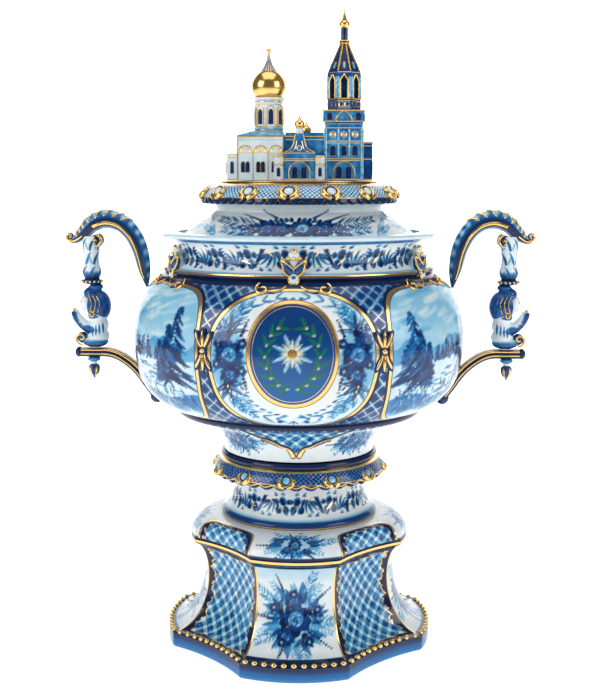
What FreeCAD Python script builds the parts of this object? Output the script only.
"""Two-handled lidded porcelain urn on an eight-sided plinth, with a model church on the lid.

Millimetres. +Z is up, the origin is the middle of the foot's underside, and the front faces -Y.
"""

import FreeCAD
import Part
import Sketcher
import math
import os
import re

SHEET = "Sizes"
OUT = "parts"

# Driving dimensions, in millimetres and degrees, by the piece that they belong to
PLINTH = {
    "foot_radius": 133,
    "foot_height": 16,
    "corner_angle": 22.5,
    "hollow_share": 0.875,
    "skirt_step": 2.5,
    "skirt_waist_radius": 96,
    "skirt_cavetto": 56,
    "skirt_flare": 31.4,
    "ledge_radius": 109.5,
    "ledge_height": 5,
    "shoulder_height": 20,
    "shoulder_top_radius": 83.5,
    "porcelain_wall": 5,
}
PEDESTAL = {
    "waist_band_radius": 77,
    "waist_band_height": 5.5,
    "waist_band_swell": 1.5,
    "waist_radius": 66,
    "waist_height": 40.1,
    "collar_bore": 67,
    "collar_seat_height": 13,
    "collar_radius": 86,
    "collar_swell": 3,
    "collar_drop": 5.5,
    "collar_scallops": 39,
    "cap_radius": 77,
    "cap_height": 6,
    "scallop_depth": 2.6,
    "scallop_notch": 0.34,
    "scallop_bite": 6,
}
BOWL = {
    "gasket_thickness": 1.5,
    "gasket_inset": 4,
    "stem_radius": 75,
    "stem_wall": 13,
    "stem_straight": 6,
    "stem_height": 37.5,
    "stem_top_radius": 113.5,
    "bowl_base_radius": 118,
    "bowl_band_height": 7,
    "bowl_band_swell": 4,
    "bowl_turn_bulge": 9.4,
    "belly_low_inset": 2.8,
    "belly_low_height": 50.5,
    "bowl_radius": 163,
    "equator_height": 79,
    "belly_high_inset": 7,
    "belly_high_height": 110,
    "bowl_shoulder_bulge": 3,
    "bowl_top_radius": 131.5,
    "bowl_height": 139.5,
    "bowl_floor": 8,
}
NECK = {
    "neck_band_height": 6,
    "neck_band_swell": 2,
    "neck_waist_radius": 122.5,
    "neck_waist_height": 20,
    "neck_height": 38,
    "lip_radius": 135,
    "lip_height": 5,
    "mouth_radius": 118,
    "seat_depth": 12,
    "seat_radius": 107.5,
    "seat_height": 6,
}
LID = {
    "lid_clearance": 1.5,
    "lid_edge_height": 4.5,
    "flange_depth": 12,
    "dome_height": 39,
    "dome_swell_radius": 102.5,
    "dome_swell_height": 18.5,
    "dome_neck_radius": 82,
    "dome_neck_height": 32.5,
    "dome_top_radius": 85,
    "ring_radius": 96.5,
    "ring_height": 19.5,
    "ring_edge": 2.5,
    "ring_swell": 4,
    "ring_top_radius": 77.5,
    "ring_scallops": 54,
    "plateau_radius": 76.5,
    "plateau_height": 2.5,
}
RELIEF = {
    "relief_count": 6,
    "sprig_inset": 3.75,
    "sprig_half_width": 13,
    "sprig_half_height": 12,
    "sprig_half_depth": 9,
    "sprig_lift": 15.5,
    "bud_radius": 5,
    "bud_lift": 28,
    "drop_radius": 6.5,
    "drop_lift": 3,
    "curl_angle": 12.5,
    "curl_drop": 2.5,
    "curl_size": 4.2,
    "knot_angle": 30,
    "knot_half_width": 6,
    "knot_half_height": 13,
    "knot_half_depth": 5,
    "knot_spread": 11,
}
HANDLE = {
    "arm_radius": 7.5,
    "arm_root_in": 12,
    "arm_root_lift": 48,
    "arm_straight": 24,
    "arm_bend_in": 4,
    "arm_bend_lift": 99,
    "arm_top_out": 24,
    "arm_top_lift": 111,
    "arm_fall_out": 41,
    "arm_fall_lift": 105,
    "arm_dip_out": 54,
    "arm_dip_lift": 93,
    "arm_curl_out": 58.5,
    "arm_curl_lift": 90.5,
    "arm_tip_out": 63.5,
    "arm_tip_lift": 94,
    "figure_out": 43,
    "capital_radius": 8.7,
    "capital_top_lift": 96,
    "bead_ring_radius": 11,
    "bead_ring_lift": 46,
    "bead_ring_height": 5,
    "herm_neck_radius": 7.5,
    "herm_neck_lift": 41,
    "herm_bulge_radius": 11.5,
    "herm_bulge_lift": 20,
    "herm_waist_radius": 7.5,
    "herm_waist_lift": 1.5,
    "herm_foot_radius": 12,
    "herm_foot_lift": -10,
    "head_radius": 7,
    "head_out": 55,
    "head_lift": 31,
    "hook_radius": 3.6,
    "hook_tip_out": 65,
    "hook_tip_lift": 21,
    "hook_low_out": 55,
    "hook_low_lift": 7.5,
    "hook_root_out": 40,
    "hook_root_lift": 10,
    "shelf_half_width": 8,
    "shelf_half_height": 4.8,
    "shelf_out": 58,
    "shelf_lift": -23,
    "shelf_turn_out": 24,
    "bracket_bend_out": 5,
    "bracket_bend_lift": -34,
    "bracket_end_in": 5.4,
    "bracket_end_drop": 10.9,
    "ball_radius": 6,
    "pendant_collar_radius": 6.5,
    "pendant_collar_height": 4,
    "pendant_neck_radius": 3.5,
    "pendant_bulb_radius": 5.7,
    "pendant_bulb_height": 9,
    "pendant_height": 22,
}
CHURCH = {
    "nave_x": 36,
    "nave_width": 44,
    "nave_depth": 44.5,
    "nave_height": 42.5,
    "nave_roof_height": 4.8,
    "nave_eave": 1.5,
    "apse_radius": 12.6,
    "apse_height": 26,
    "drum_x": 29.2,
    "drum_radius": 13.8,
    "drum_height": 31.5,
    "drum_cornice": 1.6,
    "onion_radius": 16.7,
    "onion_height": 25,
    "onion_foot_radius": 12.6,
    "onion_top_radius": 8,
    "onion_cap_height": 14.4,
    "onion_ball_radius": 2.5,
    "hall_width": 39.5,
    "hall_depth": 33,
    "hall_roof_height": 3,
    "porch_gap": 0.3,
    "porch_width": 30,
    "porch_depth": 12,
    "porch_wall_height": 26,
    "porch_gable_height": 17.4,
    "porch_turret_radius": 4.7,
    "porch_turret_height": 23,
    "small_drum_radius": 3.5,
    "small_drum_height": 6.8,
    "small_onion_radius": 4.8,
    "small_onion_height": 13,
    "rear_onion_x": 7,
    "tower_width": 36,
    "tower_height": 55,
    "tower_cornice": 1.5,
    "tower_stage_height": 11.4,
    "belfry_sill_height": 11.4,
    "belfry_height": 25,
    "belfry_radius": 17,
    "belfry_core_radius": 7,
    "belfry_arch_width": 6,
    "belfry_arch_height": 19,
    "tent_radius": 16,
    "tent_height": 26.2,
    "tent_top_radius": 4,
    "spire_ring_radius": 5,
    "spire_ring_height": 3.8,
    "spire_neck_radius": 3.4,
    "spire_neck_height": 11.5,
    "spire_onion_radius": 5.2,
    "spire_onion_height": 24.5,
    "annex_width": 9.6,
    "annex_depth": 21.4,
    "annex_height": 36.8,
}
HARDWARE = {
    "rod_radius": 4,
    "rod_hole_clearance": 1,
    "rod_tail": 4,
    "nut_width": 6.5,
    "nut_height": 6.5,
    "nut_clearance": 0.05,
    "washer_radius": 14,
    "washer_thickness": 2,
}
SIZES = {**PLINTH, **PEDESTAL, **BOWL, **NECK, **LID, **RELIEF, **HANDLE, **CHURCH, **HARDWARE}

# Levels above the floor, each a sum of heights
Z_SKIRT_WAIST = "foot_height + skirt_cavetto"
Z_LEDGE = f"{Z_SKIRT_WAIST} + skirt_flare"
Z_LEDGE_TOP = f"{Z_LEDGE} + ledge_height"
Z_SHOULDER = f"{Z_LEDGE_TOP} + shoulder_height"
Z_WAIST = f"{Z_SHOULDER} + waist_band_height"
Z_COLLAR = f"{Z_WAIST} + waist_height"
Z_CAP = f"{Z_COLLAR} + collar_seat_height"
Z_PEDESTAL = f"{Z_CAP} + cap_height"
Z_STEM = f"{Z_PEDESTAL} + gasket_thickness"
Z_BOWL = f"{Z_STEM} + stem_height"
Z_EQUATOR = f"{Z_BOWL} + equator_height"
Z_NECK = f"{Z_BOWL} + bowl_height"
Z_RIM = f"{Z_NECK} + neck_height"
Z_SEAT = f"{Z_RIM} - seat_depth"
Z_RING = f"{Z_SEAT} + dome_height"
Z_PLATEAU = f"{Z_RING} + ring_height"
Z_CHURCH = f"{Z_PLATEAU} + plateau_height"
Z_NAVE_ROOF = f"{Z_CHURCH} + nave_height"
Z_DRUM = f"{Z_NAVE_ROOF} + nave_roof_height"
Z_ONION = f"{Z_DRUM} + drum_height"
Z_ONION_CAP = f"{Z_ONION} + onion_height"
Z_PORCH_GABLE = f"{Z_CHURCH} + porch_wall_height"
Z_SMALL_DRUM = f"{Z_PORCH_GABLE} + porch_gable_height"
Z_SMALL_ONION = f"{Z_SMALL_DRUM} + small_drum_height"
Z_STAGE = f"{Z_CHURCH} + tower_height"
Z_BELFRY_SILL = f"{Z_STAGE} + tower_stage_height"
Z_BELFRY = f"{Z_BELFRY_SILL} + belfry_sill_height"
Z_TENT = f"{Z_BELFRY} + belfry_height"
Z_SPIRE_RING = f"{Z_TENT} + tent_height"
Z_SPIRE_NECK = f"{Z_SPIRE_RING} + spire_ring_height"
Z_SPIRE_ONION = f"{Z_SPIRE_NECK} + spire_neck_height"
X_HALL_LEFT = "-nave_x + nave_width / 2"
X_PORCH = f"{X_HALL_LEFT} + porch_gap + porch_width / 2"
X_TOWER = f"{X_HALL_LEFT} + hall_width + tower_width / 2"
ROD_HOLE = "rod_radius + rod_hole_clearance"

doc = FreeCAD.newDocument("urn")
sheet = doc.addObject("Spreadsheet::Sheet", SHEET)
pieces = []


def fill_sheet():
    """Writes every driving dimension to its own named cell."""
    for row, (name, value) in enumerate(SIZES.items(), start=1):
        sheet.set(f"A{row}", name)
        sheet.set(f"B{row}", str(value))
        sheet.setAlias(f"B{row}", name)
    doc.recompute()


def bound(text):
    """The expression, with each size's name pointed at its cell."""
    return re.sub(r"[a-z_]+", lambda m: f"{SHEET}.{m[0]}" if m[0] in SIZES else m[0], str(text))


def number(text):
    """What an expression comes to now."""
    return float(sheet.evalExpression(str(text)))


def keep(thing, label):
    """Names a finished piece and puts it on the list to be written."""
    thing.Label = label
    pieces.append(thing)
    return thing


def to(x, y):
    """A corner of an outline."""
    return ("to", x, y)


def by(x, y):
    """A point that the arc to the next corner passes through."""
    return ("by", x, y)


def part_way(start, end, share):
    """A coordinate a share of the way from one to another."""
    return f"({start}) + (({end}) - ({start})) * {share}"


def runs_of(steps, closed):
    """The outline's stretches as (from, by or None, to)."""
    runs, start, via = [], None, None
    for step in [*steps, steps[0]] if closed else steps:
        if step[0] == "by":
            via = step
            continue
        if start is not None:
            runs.append((start, via, step))
        start, via = step, None
    return runs


def draw(body, name, plane, steps, level=None, closed=True):
    """A sketch of lines and arcs whose corners and arc points are bound to the sheet."""
    sketch = body.newObject("Sketcher::SketchObject", name)
    support = next(f for f in body.Origin.OriginFeatures if f.Role == plane)
    sketch.AttachmentSupport = [(support, "")]
    sketch.MapMode = "FlatFace"
    if level is not None:
        sketch.setExpression("AttachmentOffset.Base.z", bound(level))
    rules, bindings = [], []

    def fix(geometry, place, step):
        """Two rules that hold a point at its step's coordinates."""
        for kind, axis, text in (("DistanceX", -2, step[1]), ("DistanceY", -1, step[2])):
            value = number(text)
            if abs(value) < 1e-9:
                rules.append(Sketcher.Constraint("PointOnObject", geometry, place, axis))
                continue
            ends = (-1, 1, geometry, place) if value > 0 else (geometry, place, -1, 1)
            bindings.append((len(rules), text if value > 0 else f"-({text})"))
            rules.append(Sketcher.Constraint(kind, *ends, abs(value)))

    def spot(step):
        return FreeCAD.Vector(number(step[1]), number(step[2]), 0)

    edges = []
    for start, via, end in runs_of(steps, closed):
        a, b = spot(start), spot(end)
        if via is None:
            edges.append((sketch.addGeometry(Part.LineSegment(a, b)), 1, 2))
            continue
        middle = spot(via)
        leftward = (middle - a).cross(b - middle).z > 0
        arc = Part.Arc(a, middle, b) if leftward else Part.Arc(b, middle, a)
        edges.append((sketch.addGeometry(arc), *((1, 2) if leftward else (2, 1))))
    for number_of, (start, via, end) in enumerate(runs_of(steps, closed)):
        geometry, first, last = edges[number_of]
        fix(geometry, first, start)
        if number_of + 1 < len(edges) or closed:
            following = edges[(number_of + 1) % len(edges)]
            rules.append(Sketcher.Constraint("Coincident", geometry, last, following[0], following[1]))
        else:
            fix(geometry, last, end)
        if via is not None:
            mark = sketch.addGeometry(Part.Point(spot(via)), True)
            fix(mark, 1, via)
            rules.append(Sketcher.Constraint("PointOnObject", mark, 1, geometry))
    sketch.addConstraint(rules)
    for index, text in bindings:
        sketch.setExpression(f"Constraints[{index}]", bound(text))
    return sketch


def new_body(name):
    """An empty body."""
    return doc.addObject("PartDesign::Body", name)


def turned(name, steps):
    """A body turned about Z from a half-section of (radius, height) steps."""
    body = new_body(name)
    sketch = draw(body, f"{name}_section", "XZ_Plane", steps)
    turn = body.newObject("PartDesign::Revolution", f"{name}_turn")
    turn.Profile = sketch
    turn.ReferenceAxis = (sketch, ["V_Axis"])
    turn.Angle = 360
    return body


def solid_of(steps):
    """The same outer line closed along the axis, as a filled shape."""
    return [to(0, steps[0][2]), *steps, to(0, steps[-1][2])]


def shifted(steps, out, up=""):
    """An outline moved by an expression in radius and in height."""
    return [(kind, f"{x} {out}", f"{y} {up}") for kind, x, y in steps]


def placed(thing, x=None, y=None, z=None):
    """Binds where a piece stands."""
    for axis, text in (("x", x), ("y", y), ("z", z)):
        if text is not None:
            thing.setExpression(f"Placement.Base.{axis}", bound(text))
    return thing


def primitive(kind, name, **sizes):
    """A Part primitive whose sizes are bound to the sheet."""
    thing = doc.addObject(f"Part::{kind}", name)
    for size, text in sizes.items():
        thing.setExpression(size, bound(text))
    return thing


def cut(name, base, tool):
    """One shape less another."""
    thing = doc.addObject("Part::Cut", name)
    thing.Base, thing.Tool = base, tool
    return thing


def fused(name, *parts):
    """Several shapes grown into one."""
    thing = doc.addObject("Part::MultiFuse", name)
    thing.Shapes = list(parts)
    return thing


def mirrored(name, source):
    """The same piece on the other side of the YZ plane."""
    thing = doc.addObject("Part::Mirroring", name)
    thing.Source = source
    thing.Normal = FreeCAD.Vector(1, 0, 0)
    return thing


def eight_sided(radius, share):
    """Plan of the plinth: round on the four main faces, hollow on the four between."""
    steps = []
    for quarter in range(4):
        facing = 90 * quarter
        for angle, kind, scale in (
            (f"{facing} - corner_angle", to, ""),
            (f"{facing}", by, ""),
            (f"{facing} + corner_angle", to, ""),
            (f"{facing + 45}", by, f" * ({share})"),
        ):
            reach = f"({radius}){scale}"
            steps.append(kind(f"{reach} * cos({angle})", f"{reach} * sin({angle})"))
    return steps


def lofted(body, kind, name, sections, ruled):
    """A loft through eight-sided sections of (radius, height, hollow share)."""
    sketches = [
        draw(body, f"{name}_{index}", "XY_Plane", eight_sided(radius, share), level=height)
        for index, (radius, height, share) in enumerate(sections)
    ]
    loft = body.newObject(f"PartDesign::{kind}", name)
    loft.Profile = sketches[0]
    loft.Sections = sketches[1:]
    loft.Ruled = ruled
    return loft


def inset(sections, gap):
    """Loft sections drawn in by a wall."""
    return [(f"{radius} - {gap}", height, share) for radius, height, share in sections]


def scalloped(body, name, height, count, edge_radius):
    """Cuts V notches all round a skirt's lower edge, which leaves a row of scallops."""
    half = f"{edge_radius} * sin(180 / {count}) * scallop_notch"
    below = f"{height} - scallop_depth"
    notch = [to(f"-{half}", below), to(half, below), to(0, f"{height} + scallop_depth")]
    sketch = draw(body, f"{name}_notch", "XZ_Plane", notch, level=f"{edge_radius} - scallop_bite")
    whole = body.Tip
    doc.recompute()
    before = whole.Shape.Volume
    pocket = body.newObject("PartDesign::Pocket", f"{name}_pocket")
    pocket.Profile = sketch
    pocket.setExpression("Length", bound("2 * scallop_bite"))
    pocket.Reversed = True
    doc.recompute()
    if pocket.Shape.Volume >= before:
        raise RuntimeError(f"{name}: the notch cuts nothing")
    pattern = body.newObject("PartDesign::PolarPattern", f"{name}_pattern")
    pattern.Originals = [pocket]
    pattern.Axis = (next(f for f in body.Origin.OriginFeatures if f.Role == "Z_Axis"), [""])
    pattern.Angle = 360
    pattern.setExpression("Occurrences", bound(count))
    body.Tip = pattern
    return body


def piped(name, path, plane, section, level):
    """A body swept along a path in the XZ plane from a section square to the path's start."""
    body = new_body(name)
    spine = draw(body, f"{name}_path", "XZ_Plane", path, closed=False)
    profile = draw(body, f"{name}_section", plane, section, level=level)
    pipe = body.newObject("PartDesign::AdditivePipe", f"{name}_pipe")
    pipe.Profile = profile
    pipe.Spine = (spine, [f"Edge{n + 1}" for n in range(len(runs_of(path, False)))])
    return body


def round_section(x, y, radius):
    """A circle as two half arcs."""
    return [
        to(f"{x} - {radius}", y),
        by(x, f"{y} - {radius}"),
        to(f"{x} + {radius}", y),
        by(x, f"{y} + {radius}"),
    ]


# Plinth

def plinth_skirt():
    """The foot and the flared skirt above it, hollow from below."""
    body = new_body("plinth_skirt_body")
    foot = [("foot_radius", height, "hollow_share") for height in ("0", "foot_height")]
    lofted(body, "AdditiveLoft", "foot", foot, ruled=True)
    flare = []
    for angle in (0, 30, 60, 90):
        radius = f"foot_radius - skirt_step - (foot_radius - skirt_step - skirt_waist_radius) * sin({angle})"
        height = f"foot_height + skirt_cavetto * (1 - cos({angle}))"
        flare.append((radius, height, "hollow_share"))
    for angle in (45, 75):
        radius = f"skirt_waist_radius + (ledge_radius - skirt_waist_radius) * (1 - cos({angle}))"
        height = f"{Z_SKIRT_WAIST} + skirt_flare * sin({angle}) / sin(75)"
        flare.append((radius, height, "hollow_share"))
    lofted(body, "AdditiveLoft", "flare", flare, ruled=False)
    hollow = [(radius, height, share) for radius, height, share in flare[2:]]
    lofted(body, "SubtractiveLoft", "hollow", inset(hollow, "porcelain_wall"), ruled=False)
    foot_room = ("foot_radius - 2 * porcelain_wall", "0", "hollow_share")
    cone = [foot_room, *inset(hollow[:1], "porcelain_wall")]
    lofted(body, "SubtractiveLoft", "foot_hollow", cone, ruled=True)
    return keep(body, "plinth_skirt")


def plinth_shoulder():
    """The gilded ledge and the rounded shoulder, which turns from eight sides to a circle."""
    body = new_body("plinth_shoulder_body")
    ledge = [("ledge_radius", height, "hollow_share") for height in (Z_LEDGE, Z_LEDGE_TOP)]
    lofted(body, "AdditiveLoft", "ledge", ledge, ruled=True)
    dome = []
    for angle in (0, 30, 60, 90):
        radius = f"shoulder_top_radius + (ledge_radius - shoulder_top_radius) * cos({angle})"
        height = f"{Z_LEDGE_TOP} + shoulder_height * sin({angle})"
        dome.append((radius, height, f"hollow_share + (1 - hollow_share) * {angle} / 90"))
    lofted(body, "AdditiveLoft", "dome", dome, ruled=False)
    room = [
        ("ledge_radius - 2 * porcelain_wall", Z_LEDGE, "hollow_share"),
        ("collar_bore - porcelain_wall", Z_SHOULDER, "1"),
    ]
    lofted(body, "SubtractiveLoft", "room", room, ruled=True)
    return keep(body, "plinth_shoulder")


# Pedestal

def pedestal_waist():
    """The round waist with its blue bands and the plate that the bowl is bolted to."""
    middle = "waist_band_height / 2"
    steps = [
        to("waist_band_radius", Z_SHOULDER),
        by("waist_band_radius + waist_band_swell", f"{Z_SHOULDER} + {middle}"),
        to("waist_band_radius", Z_WAIST),
        by("waist_radius + waist_band_swell", f"{Z_WAIST} + waist_height / 3"),
        to("collar_bore", Z_COLLAR),
        to("collar_bore", Z_CAP),
        to("cap_radius", Z_CAP),
        by("cap_radius + waist_band_swell", f"{Z_CAP} + cap_height / 2"),
        to("cap_radius", Z_PEDESTAL),
        to(ROD_HOLE, Z_PEDESTAL),
        to(ROD_HOLE, f"{Z_PEDESTAL} - cap_height"),
        to("collar_bore - porcelain_wall", f"{Z_PEDESTAL} - cap_height"),
        to("collar_bore - porcelain_wall", Z_SHOULDER),
    ]
    return keep(turned("pedestal_waist_body", steps), "pedestal_waist")


def pedestal_collar():
    """The scalloped collar under the bowl's stem."""
    low = f"{Z_COLLAR} - collar_drop"
    middle = f"({low} + {Z_CAP}) / 2"
    steps = [
        to("collar_bore", Z_COLLAR),
        to("collar_radius - collar_swell", low),
        to("collar_radius", f"{low} + ring_edge"),
        by("(collar_radius + cap_radius) / 2 + collar_swell", middle),
        to("cap_radius", Z_CAP),
        to("collar_bore", Z_CAP),
    ]
    body = turned("pedestal_collar_body", steps)
    scalloped(body, "collar", low, "collar_scallops", "collar_radius")
    return keep(body, "pedestal_collar")


# Bowl

BAND = "bowl_base_radius + bowl_band_swell"
BELLY_LOW = "bowl_radius - belly_low_inset"
BELLY_HIGH = "bowl_radius - belly_high_inset"
TURN_RADIUS = f"({BAND} + {BELLY_LOW}) / 2 + bowl_turn_bulge * 0.7"
Z_TURN = f"{Z_BOWL} + (bowl_band_height + belly_low_height) / 2 - bowl_turn_bulge * 0.7"
STEM_BORE = "stem_radius - stem_wall"
Z_STEM_BEND = f"{Z_STEM} + stem_straight"
STEM_OUTER = [
    to("stem_radius", Z_STEM),
    to("stem_radius", Z_STEM_BEND),
    by(part_way("stem_radius", "stem_top_radius", 0.34), part_way(Z_STEM_BEND, Z_BOWL, 0.68)),
    to("stem_top_radius", Z_BOWL),
]
BOWL_OUTER = [
    to("bowl_base_radius", Z_BOWL),
    by(BAND, f"{Z_BOWL} + bowl_band_height / 2"),
    to(BAND, f"{Z_BOWL} + bowl_band_height"),
    by(TURN_RADIUS, Z_TURN),
    to(BELLY_LOW, f"{Z_BOWL} + belly_low_height"),
    by("bowl_radius", Z_EQUATOR),
    to(BELLY_HIGH, f"{Z_BOWL} + belly_high_height"),
    by(
        f"({BELLY_HIGH} + bowl_top_radius) / 2 + bowl_shoulder_bulge * 0.7",
        f"{Z_BOWL} + (belly_high_height + bowl_height) / 2 + bowl_shoulder_bulge * 0.7",
    ),
    to("bowl_top_radius", Z_NECK),
]
LIP = "lip_radius - neck_band_swell"
Z_NECK_BAND = f"{Z_NECK} + neck_band_height"
Z_NECK_WAIST = f"{Z_NECK} + neck_waist_height"
NECK_OUTER = [
    to("bowl_top_radius", Z_NECK),
    by("bowl_top_radius + neck_band_swell", f"{Z_NECK} + neck_band_height / 2"),
    to("bowl_top_radius", Z_NECK_BAND),
    by(part_way("neck_waist_radius", "bowl_top_radius", 0.27), part_way(Z_NECK_WAIST, Z_NECK_BAND, 0.6)),
    to("neck_waist_radius", Z_NECK_WAIST),
    by(part_way("neck_waist_radius", LIP, 0.27), part_way(Z_NECK_WAIST, f"{Z_RIM} - lip_height", 0.6)),
    to(LIP, f"{Z_RIM} - lip_height"),
    by("lip_radius", f"{Z_RIM} - lip_height / 2"),
    to(LIP, Z_RIM),
]


def seat_gasket():
    """The soft ring that the bowl's stem is bolted down on."""
    outside = "stem_radius - gasket_inset"
    steps = [
        to(STEM_BORE, Z_PEDESTAL),
        to(outside, Z_PEDESTAL),
        to(outside, Z_STEM),
        to(STEM_BORE, Z_STEM),
    ]
    return keep(turned("seat_gasket_body", steps), "seat_gasket")


def bowl_stem():
    """The bell-shaped stem, open at both ends."""
    top = "stem_top_radius - 2 * porcelain_wall"
    steps = [
        *STEM_OUTER,
        to(top, Z_BOWL),
        by(part_way(STEM_BORE, top, 0.34), part_way(Z_STEM_BEND, Z_BOWL, 0.68)),
        to(STEM_BORE, Z_STEM_BEND),
        to(STEM_BORE, Z_STEM),
    ]
    return keep(turned("bowl_stem_body", steps), "bowl_stem")


def bowl_body():
    """The belly, with a flat floor that the tie rod passes through."""
    belly = shifted(BOWL_OUTER[4:], "- porcelain_wall")
    floor = f"{Z_BOWL} + bowl_floor"
    steps = [
        to(ROD_HOLE, Z_BOWL),
        *BOWL_OUTER,
        *reversed(belly),
        by(f"{TURN_RADIUS} - porcelain_wall * 0.7", f"{Z_TURN} + porcelain_wall * 0.7"),
        to("bowl_base_radius - 2 * porcelain_wall", floor),
        to(ROD_HOLE, floor),
    ]
    return keep(turned("bowl_body_body", steps), "bowl_body")


def bowl_neck():
    """The hollow-sided neck with its lip and the ledge that the lid sits on."""
    steps = [
        *NECK_OUTER,
        to("mouth_radius", Z_RIM),
        to("mouth_radius", Z_SEAT),
        to("seat_radius", Z_SEAT),
        to("seat_radius", f"{Z_SEAT} - seat_height"),
        to("bowl_top_radius - porcelain_wall", Z_NECK),
    ]
    return keep(turned("bowl_neck_body", steps), "bowl_neck")


# Lid

def lid_dome():
    """The lid's dome with the flange that centres it in the mouth."""
    edge = "mouth_radius - lid_clearance"
    flange = "seat_radius - lid_clearance"
    hang = f"{Z_SEAT} - flange_depth"
    steps = [
        to(f"{flange} - porcelain_wall", hang),
        to(flange, hang),
        to(flange, Z_SEAT),
        to(edge, Z_SEAT),
        to(edge, f"{Z_SEAT} + lid_edge_height"),
        by("dome_swell_radius", f"{Z_SEAT} + dome_swell_height"),
        to("dome_neck_radius", f"{Z_SEAT} + dome_neck_height"),
        by("dome_neck_radius", f"{Z_SEAT} + (dome_neck_height + dome_height) / 2"),
        to("dome_top_radius", Z_RING),
        to(0, Z_RING),
        to(0, f"{Z_RING} - porcelain_wall"),
        to("dome_neck_radius - porcelain_wall", f"{Z_RING} - porcelain_wall"),
        to("dome_neck_radius - porcelain_wall", f"{Z_SEAT} + dome_neck_height - porcelain_wall"),
        to(f"{flange} - porcelain_wall", f"{Z_SEAT} + lid_edge_height"),
    ]
    return keep(turned("lid_dome_body", steps), "lid_dome")


def lid_ring():
    """The scalloped cover that crowns the dome, a shell with a flat top."""
    inside = "dome_neck_radius - porcelain_wall"
    under = f"{Z_PLATEAU} - porcelain_wall"
    steps = [
        to(inside, Z_RING),
        to("ring_radius - ring_edge", Z_RING),
        to("ring_radius", f"{Z_RING} + ring_edge"),
        by("(ring_radius + ring_top_radius) / 2 + ring_swell", f"{Z_RING} + ring_height * 0.66"),
        to("ring_top_radius", Z_PLATEAU),
        to(0, Z_PLATEAU),
        to(0, under),
        to("ring_top_radius - 2 * porcelain_wall", under),
        to(inside, f"{under} - porcelain_wall"),
    ]
    body = turned("lid_ring_body", steps)
    scalloped(body, "ring", Z_RING, "ring_scallops", "ring_radius")
    return keep(body, "lid_ring")


def lid_plateau():
    """The gilt-edged disc that the church stands on."""
    disc = primitive("Cylinder", "lid_plateau_disc", Radius="plateau_radius", Height="plateau_height")
    return keep(placed(disc, z=Z_PLATEAU), "lid_plateau")


# Relief on the bowl

def ellipsoid(name, upright, across, deep):
    """An egg form, by its half sizes along Z, X and Y."""
    egg = primitive("Ellipsoid", name, Radius1=upright, Radius2=across, Radius3=deep)
    egg.Angle1, egg.Angle2, egg.Angle3 = -90, 90, 360
    return egg


def around(label, shape, angles):
    """Copies of one shape turned about Z, as one node of separate solids."""
    group = doc.addObject("Part::Feature", label)
    axis = FreeCAD.Vector(0, 0, 1)
    origin = FreeCAD.Vector(0, 0, 0)
    copies = []
    for angle in angles:
        copy = shape.copy()
        copy.rotate(origin, axis, angle)
        copies.extend(copy.Solids)
    group.Shape = Part.makeCompound(copies)
    return keep(group, label)


def sixths():
    """The angles of the bowl's panels."""
    count = int(number("relief_count"))
    return [360.0 * n / count for n in range(count)]


def neck_sprigs(core):
    """Palmettes that hang from the lip over each panel."""
    leaf = ellipsoid("sprig_leaf", "sprig_half_height", "sprig_half_width", "sprig_half_depth")
    hollow = "sprig_inset - (bowl_top_radius + lip_radius) / 2"
    placed(leaf, y=hollow, z=f"{Z_NECK} + sprig_lift")
    bud = primitive("Sphere", "sprig_bud", Radius="bud_radius")
    placed(bud, y=hollow, z=f"{Z_NECK} + bud_lift")
    drop = primitive("Sphere", "sprig_drop", Radius="drop_radius")
    placed(drop, y="-bowl_top_radius", z=f"{Z_NECK} + drop_lift")
    sprig = cut("sprig", fused("sprig_whole", leaf, bud, drop), core)
    doc.recompute()
    return around("neck_sprigs", sprig.Shape, sixths())


def panel_curls(core):
    """Pairs of gilt curls at the top of each panel."""
    curl = primitive("Sphere", "curl_boss", Radius="curl_size")
    lift = f"{Z_NECK} - curl_drop"
    placed(curl, y="-bowl_top_radius", z=lift)
    cutout = cut("curl", curl, core)
    doc.recompute()
    turn = number("curl_angle")
    return around("panel_curls", cutout.Shape, [a + s for a in sixths() for s in (-turn, turn)])


def leaf_knots(core):
    """Leaf bows on the strips between panels, two each side of the front and of the back."""
    lobes = []
    for name, side in (("upper", "+"), ("lower", "-")):
        lobe = ellipsoid(f"knot_{name}", "knot_half_height", "knot_half_width", "knot_half_depth")
        lobes.append(placed(lobe, y="-bowl_radius", z=f"{Z_EQUATOR} {side} knot_spread"))
    knot = cut("knot", fused("knot_whole", *lobes), core)
    doc.recompute()
    turn = number("knot_angle")
    return around("leaf_knots", knot.Shape, [turn, -turn, 180 - turn, 180 + turn])


# Handles

def out(name):
    """A distance outward from the belly, on the left side."""
    return f"-(bowl_radius + {name})"


def inward(name):
    """A distance inward from the belly, on the left side."""
    return f"-(bowl_radius - {name})"


def lift(name):
    """A height above the belly's widest level."""
    return f"{Z_EQUATOR} + {name}"


def both_sides(left, name):
    """Keeps a left-hand piece and its mirror image."""
    keep(left, f"{name}_left")
    return keep(mirrored(f"{name}_mirror", left), f"{name}_right")


def handle_arm(core):
    """The upper scroll, which springs from the bowl's shoulder and ends in a curl."""
    root = inward("arm_root_in")
    path = [
        to(root, lift("arm_root_lift")),
        to(root, f"{lift('arm_root_lift')} + arm_straight"),
        by(inward("arm_bend_in"), lift("arm_bend_lift")),
        to(out("arm_top_out"), lift("arm_top_lift")),
        by(out("arm_fall_out"), lift("arm_fall_lift")),
        to(out("arm_dip_out"), lift("arm_dip_lift")),
        by(out("arm_curl_out"), lift("arm_curl_lift")),
        to(out("arm_tip_out"), lift("arm_tip_lift")),
    ]
    section = round_section(root, "0", "arm_radius")
    whole = piped("arm_whole", path, "XY_Plane", section, lift("arm_root_lift"))
    arm = cut("handle_arm", whole, core)
    both_sides(arm, "handle_arm")
    return arm


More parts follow.
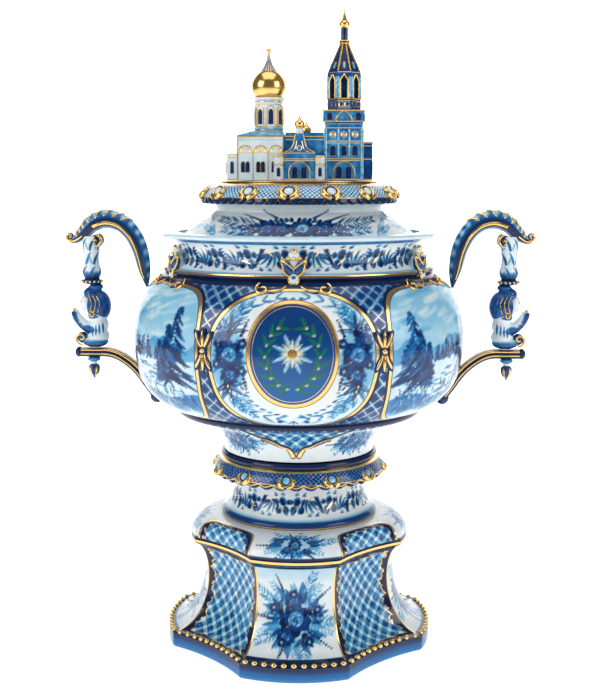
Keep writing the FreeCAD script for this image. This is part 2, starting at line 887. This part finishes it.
def handle_capital(arm):
    """The drum under the arm, with a beaded ring at its foot."""
    ring = lift("bead_ring_lift")
    steps = [
        to(0, ring),
        to("capital_radius", ring),
        by("bead_ring_radius", f"{ring} + bead_ring_height / 2"),
        to("capital_radius", f"{ring} + bead_ring_height"),
        to("capital_radius", lift("capital_top_lift")),
        to(0, lift("capital_top_lift")),
    ]
    drum = placed(turned("capital_drum", steps), x=out("figure_out"))
    capital = cut("handle_capital", drum, arm)
    both_sides(capital, "handle_capital")


def handle_herm():
    """The ornamental figure: a swelling trunk with a head and a scrolled leaf on its outer side."""
    top = lift("bead_ring_lift")
    shelf_top = f"{lift('shelf_lift')} + shelf_half_height"
    steps = [
        to(0, shelf_top),
        to("herm_foot_radius - herm_neck_radius / 4", shelf_top),
        by("herm_foot_radius", lift("herm_foot_lift")),
        to("herm_waist_radius", lift("herm_waist_lift")),
        by("herm_bulge_radius", lift("herm_bulge_lift")),
        to("herm_neck_radius", lift("herm_neck_lift")),
        to("herm_neck_radius", top),
        to(0, top),
    ]
    trunk = placed(turned("herm_trunk", steps), x=out("figure_out"))
    head = primitive("Sphere", "herm_head", Radius="head_radius")
    placed(head, x=out("head_out"), z=lift("head_lift"))
    path = [
        to(out("hook_root_out"), lift("hook_root_lift")),
        by(out("hook_low_out"), lift("hook_low_lift")),
        to(out("hook_tip_out"), lift("hook_tip_lift")),
    ]
    section = round_section("0", lift("hook_root_lift"), "hook_radius")
    hook = piped("herm_hook", path, "YZ_Plane", section, out("hook_root_out"))
    both_sides(fused("handle_herm", trunk, head, hook), "handle_herm")


def handle_bracket(core):
    """The shelf under the figure and the stay that runs down the belly to a ball."""
    end_x, end_z = f"bracket_end_in - ({TURN_RADIUS})", f"{Z_TURN} - bracket_end_drop"
    path = [
        to(out("shelf_out"), lift("shelf_lift")),
        to(out("shelf_turn_out"), lift("shelf_lift")),
        by(out("bracket_bend_out"), lift("bracket_bend_lift")),
        to(end_x, end_z),
    ]
    level = lift("shelf_lift")
    flat = "shelf_half_width - shelf_half_height"
    section = [
        to(f"-({flat})", f"{level} - shelf_half_height"),
        to(flat, f"{level} - shelf_half_height"),
        by("shelf_half_width", level),
        to(flat, f"{level} + shelf_half_height"),
        to(f"-({flat})", f"{level} + shelf_half_height"),
        by("-shelf_half_width", level),
    ]
    stay = piped("bracket_stay", path, "YZ_Plane", section, out("shelf_out"))
    ball = primitive("Sphere", "bracket_ball", Radius="ball_radius")
    placed(ball, x=end_x, z=end_z)
    bracket = cut("handle_bracket", fused("bracket_whole", stay, ball), core)
    both_sides(bracket, "handle_bracket")


def handle_pendant():
    """The acorn drop under the shelf."""
    top = f"{lift('shelf_lift')} - shelf_half_height"
    bulb = f"{top} - pendant_collar_height - pendant_bulb_height"
    steps = [
        to(0, f"{top} - pendant_height"),
        by("pendant_neck_radius", f"{bulb} - pendant_neck_radius"),
        to("pendant_bulb_radius", bulb),
        by("pendant_bulb_radius", f"{bulb} + pendant_bulb_height / 3"),
        to("pendant_neck_radius", f"{top} - pendant_collar_height"),
        to("pendant_collar_radius", top),
        to(0, top),
    ]
    pendant = placed(turned("pendant_drop", steps), x=out("figure_out"))
    both_sides(pendant, "handle_pendant")


# Church on the lid

def box(name, width, depth, height, x, z, y="0"):
    """A block centred on x and y, standing at z."""
    block = primitive("Box", name, Length=width, Width=depth, Height=height)
    return placed(block, x=f"{x} - ({width}) / 2", y=f"{y} - ({depth}) / 2", z=z)


def onion_steps(foot, belly, height, base):
    """Half-section of a solid onion dome with a drawn-out tip."""
    shoulder = f"{base} + ({belly}) * 1.32"
    tip = f"{base} + ({height})"
    return [
        to(0, base),
        to(foot, base),
        by(belly, f"{base} + ({belly}) * 0.6"),
        to(f"({belly}) * 0.55", shoulder),
        by(f"({belly}) * 0.2", part_way(shoulder, tip, 0.4)),
        to(0, tip),
    ]


def church_nave():
    """The white cube, its low hipped roof and the round apse beside it."""
    keep(box("nave_walls", "nave_width", "nave_depth", "nave_height", "-nave_x", Z_CHURCH), "church_nave")
    roof = doc.addObject("Part::Wedge", "nave_roof_wedge")
    half_x, half_y = "nave_width / 2 + nave_eave", "nave_depth / 2 + nave_eave"
    for name, text in {
        "Xmin": f"-({half_x})", "Xmax": half_x, "Zmin": f"-({half_y})", "Zmax": half_y,
        "Ymin": "0", "Ymax": "nave_roof_height",
        "X2min": "nave_x - drum_x - drum_radius", "X2max": "nave_x - drum_x + drum_radius",
        "Z2min": "-drum_radius", "Z2max": "drum_radius",
    }.items():
        roof.setExpression(name, bound(text))
    roof.Placement.Rotation = FreeCAD.Rotation(FreeCAD.Vector(1, 0, 0), 90)
    keep(placed(roof, x="-nave_x", z=Z_NAVE_ROOF), "church_nave_roof")
    round_end = primitive("Cylinder", "apse_round", Radius="apse_radius", Height="apse_height")
    placed(round_end, x="-nave_x - nave_width / 2", z=Z_CHURCH)
    keep(cut("apse", round_end, doc.getObject("nave_walls")), "church_apse")


def church_drum():
    """The tall drum and the gilded onion over the nave."""
    cornice = f"{Z_ONION} - 2 * drum_cornice"
    steps = [
        to(0, Z_DRUM),
        to("drum_radius", Z_DRUM),
        to("drum_radius", cornice),
        to("drum_radius + drum_cornice", f"{Z_ONION} - drum_cornice"),
        to("drum_radius + drum_cornice", Z_ONION),
        to(0, Z_ONION),
    ]
    keep(placed(turned("drum_wall", steps), x="-drum_x"), "church_drum")
    belly = f"{Z_ONION} + onion_height * 0.42"
    globe = [
        to(0, Z_ONION),
        to("onion_foot_radius", Z_ONION),
        by(part_way("onion_radius", "onion_foot_radius", 0.26), part_way(belly, Z_ONION, 0.54)),
        to("onion_radius", belly),
        by(part_way("onion_radius", "onion_top_radius", 0.27), part_way(belly, Z_ONION_CAP, 0.58)),
        to("onion_top_radius", Z_ONION_CAP),
        to(0, Z_ONION_CAP),
    ]
    keep(placed(turned("onion_globe", globe), x="-drum_x"), "church_onion")
    ball = f"{Z_ONION_CAP} + onion_cap_height + onion_ball_radius"
    stalk = "onion_ball_radius / 2"
    cap = [
        to(0, Z_ONION_CAP),
        to("onion_top_radius", Z_ONION_CAP),
        by("onion_top_radius * 0.4", f"{Z_ONION_CAP} + onion_cap_height * 0.45"),
        to(stalk, f"{Z_ONION_CAP} + onion_cap_height"),
        by("onion_ball_radius", ball),
        to(stalk, f"{ball} + onion_ball_radius"),
        to(0, f"{ball} + onion_ball_radius * 2"),
    ]
    keep(placed(turned("onion_cap", cap), x="-drum_x"), "church_onion_cap")


def church_hall():
    """The hall between nave and tower with its shallow roof."""
    x = f"{X_HALL_LEFT} + hall_width / 2"
    keep(box("hall_walls", "hall_width", "hall_depth", "nave_height", x, Z_CHURCH), "church_hall")
    width = "hall_width - 2 * nave_eave"
    roof = box("hall_roof", width, "hall_depth", "hall_roof_height", x, Z_NAVE_ROOF)
    keep(roof, "church_hall_roof")
    rear = onion_steps("small_drum_radius", "small_onion_radius", "small_onion_height", "0")
    onion = turned("rear_onion_turn", rear)
    keep(placed(onion, x="rear_onion_x", z=f"{Z_NAVE_ROOF} + hall_roof_height"), "church_rear_onion")


def church_porch():
    """The gabled porch in front of the hall, its two round turrets and its little onion."""
    front = "-hall_depth / 2 - porch_depth / 2"
    walls = box("porch_walls", "porch_width", "porch_depth", "porch_wall_height", X_PORCH, Z_CHURCH, front)
    keep(walls, "church_porch")
    body = new_body("porch_gable_body")
    half = "porch_width / 2"
    gable = [
        to(f"-{half}", Z_PORCH_GABLE),
        to(half, Z_PORCH_GABLE),
        by("porch_width * 0.2", f"{Z_PORCH_GABLE} + porch_gable_height * 0.42"),
        to("small_drum_radius", Z_SMALL_DRUM),
        to("-small_drum_radius", Z_SMALL_DRUM),
        by("-porch_width * 0.2", f"{Z_PORCH_GABLE} + porch_gable_height * 0.42"),
    ]
    pad = body.newObject("PartDesign::Pad", "porch_gable_pad")
    pad.Profile = draw(body, "porch_gable_section", "XZ_Plane", gable)
    pad.setExpression("Length", bound("porch_depth"))
    keep(placed(body, x=X_PORCH, y="-hall_depth / 2"), "church_porch_gable")
    turrets = []
    for side in ("-", "+"):
        sizes = {"Radius": "porch_turret_radius", "Height": "porch_turret_height"}
        turret = primitive("Cylinder", f"turret_{len(turrets)}", **sizes)
        placed(turret, x=f"{X_PORCH} {side} (porch_width / 2 + porch_turret_radius)", z=Z_CHURCH)
        turrets.append(placed(turret, y="-nave_depth / 2 - porch_turret_radius"))
    pair = doc.addObject("Part::Compound", "turret_pair")
    pair.Links = turrets
    keep(pair, "church_porch_turrets")
    drum = primitive("Cylinder", "small_drum", Radius="small_drum_radius", Height="small_drum_height")
    keep(placed(drum, x=X_PORCH, y=front, z=Z_SMALL_DRUM), "church_porch_drum")
    steps = onion_steps("small_drum_radius", "small_onion_radius", "small_onion_height", "0")
    onion = turned("small_onion", steps)
    keep(placed(onion, x=X_PORCH, y=front, z=Z_SMALL_ONION), "church_porch_onion")


def octagon(name, radius, z):
    """An upright eight-sided outline with a flat to the front."""
    plan = primitive("RegularPolygon", name, Circumradius=radius)
    plan.Polygon = 8
    plan.Placement.Rotation = FreeCAD.Rotation(FreeCAD.Vector(0, 0, 1), 22.5)
    return placed(plan, x=X_TOWER, z=z)


def eight_sided_block(name, low, high):
    """A block between two eight-sided outlines."""
    loft = doc.addObject("Part::Loft", name)
    loft.Sections = [octagon(f"{name}_low", *low), octagon(f"{name}_high", *high)]
    loft.Solid = True
    loft.Ruled = True
    return loft


def church_tower():
    """The bell tower: square base and stage, eight-sided belfry, tent roof and spire."""
    keep(box("tower_walls", "tower_width", "tower_width", "tower_height", X_TOWER, Z_CHURCH), "tower_base")
    stage = "tower_width + 2 * tower_cornice"
    keep(box("tower_stage_block", stage, stage, "tower_stage_height", X_TOWER, Z_STAGE), "tower_stage")
    sill = eight_sided_block("belfry_sill", ("belfry_radius", Z_BELFRY_SILL), ("belfry_radius", Z_BELFRY))
    keep(sill, "tower_belfry_sill")
    shell = eight_sided_block("belfry_shell", ("belfry_radius", Z_BELFRY), ("belfry_radius", Z_TENT))
    ways = []
    for n in range(4):
        sizes = {"Length": "2 * belfry_radius", "Width": "belfry_arch_width", "Height": "belfry_arch_height"}
        way = primitive("Box", f"arch_{n}", **sizes)
        way.Placement.Rotation = FreeCAD.Rotation(FreeCAD.Vector(0, 0, 1), 45 * n)
        angle = 45 * n
        back_x = f"{X_TOWER} - belfry_radius * cos({angle}) + belfry_arch_width / 2 * sin({angle})"
        back_y = f"0 - belfry_radius * sin({angle}) - belfry_arch_width / 2 * cos({angle})"
        ways.append(placed(way, x=back_x, y=back_y, z=Z_BELFRY))
    core = primitive("Cylinder", "belfry_core", Radius="belfry_core_radius", Height="belfry_arch_height")
    placed(core, x=X_TOWER, z=Z_BELFRY)
    arches = cut("belfry_ways", fused("arch_cross", *ways), core)
    keep(cut("belfry", shell, arches), "tower_belfry")
    tent = eight_sided_block("tent", ("tent_radius", Z_TENT), ("tent_top_radius", Z_SPIRE_RING))
    keep(tent, "tower_tent")
    neck = [
        to(0, Z_SPIRE_RING),
        to("spire_neck_radius", Z_SPIRE_RING),
        by("spire_ring_radius", f"{Z_SPIRE_RING} + spire_ring_height / 2"),
        to("spire_neck_radius", Z_SPIRE_NECK),
        to("spire_neck_radius", Z_SPIRE_ONION),
        to(0, Z_SPIRE_ONION),
    ]
    keep(placed(turned("spire_neck", neck), x=X_TOWER), "tower_spire_neck")
    steps = onion_steps("spire_neck_radius", "spire_onion_radius", "spire_onion_height", Z_SPIRE_ONION)
    keep(placed(turned("spire_onion", steps), x=X_TOWER), "tower_onion")
    x = f"{X_TOWER} + tower_width / 2 + annex_width / 2"
    keep(box("annex_walls", "annex_width", "annex_depth", "annex_height", x, Z_CHURCH), "tower_annex")


# Tie rod that clamps the bowl to the pedestal

def tie_rod():
    """Steel rod with a washer and a nut above the bowl's floor and below the pedestal's plate."""
    floor = f"{Z_BOWL} + bowl_floor"
    plate = f"{Z_PEDESTAL} - cap_height"
    stack = "washer_thickness + nut_height"
    low = f"{plate} - ({stack}) - rod_tail"
    length = f"{floor} - ({plate}) + 2 * ({stack}) + 2 * rod_tail"
    rod = primitive("Cylinder", "tie_rod_bar", Radius="rod_radius", Height=length)
    keep(placed(rod, z=low), "tie_rod")
    ends = {
        "upper": (floor, f"{floor} + washer_thickness"),
        "lower": (f"{plate} - washer_thickness", f"{plate} - washer_thickness - nut_height"),
    }
    for side, (washer_z, nut_z) in ends.items():
        disc = {"Radius": "washer_radius", "Height": "washer_thickness"}
        washer = primitive("Cylinder", f"{side}_washer_disc", **disc)
        nut = primitive("Prism", f"{side}_nut_block", Circumradius="nut_width", Height="nut_height")
        nut.Polygon = 6
        for piece, blank, z in (("washer", washer, washer_z), ("nut", nut, nut_z)):
            height = "washer_thickness" if piece == "washer" else "nut_height"
            bore = "rod_radius + nut_clearance"
            hole = primitive("Cylinder", f"{side}_{piece}_hole", Radius=bore, Height=height)
            placed(blank, z=z)
            placed(hole, z=z)
            keep(cut(f"{side}_{piece}", blank, hole), f"rod_{piece}_{side}")


def build():
    """Makes every piece."""
    fill_sheet()
    plinth_skirt()
    plinth_shoulder()
    pedestal_waist()
    pedestal_collar()
    seat_gasket()
    bowl_stem()
    bowl_body()
    bowl_neck()
    lid_dome()
    lid_ring()
    lid_plateau()
    belly = turned("belly_core", solid_of(BOWL_OUTER))
    throat = turned("throat_core", solid_of(NECK_OUTER))
    core = fused("bowl_core", belly, throat)
    neck_sprigs(core)
    panel_curls(core)
    leaf_knots(core)
    arm = handle_arm(core)
    handle_capital(arm)
    handle_herm()
    handle_bracket(core)
    handle_pendant()
    church_nave()
    church_drum()
    church_hall()
    church_porch()
    church_tower()
    tie_rod()
    doc.recompute()


def check():
    """Stops if any object failed or any piece is empty or broken."""
    for thing in doc.Objects:
        if "Invalid" in thing.State or "Error" in thing.State:
            raise RuntimeError(f"{thing.Label}: {thing.State}")
    for piece in pieces:
        shape = piece.Shape
        if shape.isNull() or not shape.isValid() or not shape.Solids:
            raise RuntimeError(f"{piece.Label} is not a sound solid")


def write():
    """Writes one STEP file for each piece."""
    os.makedirs(OUT, exist_ok=True)
    for piece in pieces:
        piece.Shape.exportStep(os.path.join(OUT, f"{piece.Label}.step"))


build()
check()
write()
for piece in pieces:
    corners = piece.Shape.BoundBox
    volume = sum(solid.Volume for solid in piece.Shape.Solids) / 1000
    print(
        f"{piece.Label:24s} solids {len(piece.Shape.Solids):2d} volume {volume:8.2f} cm3"
        f" x {corners.XMin:7.1f} {corners.XMax:7.1f} y {corners.YMin:7.1f} {corners.YMax:7.1f}"
        f" z {corners.ZMin:7.1f} {corners.ZMax:7.1f}"
    )
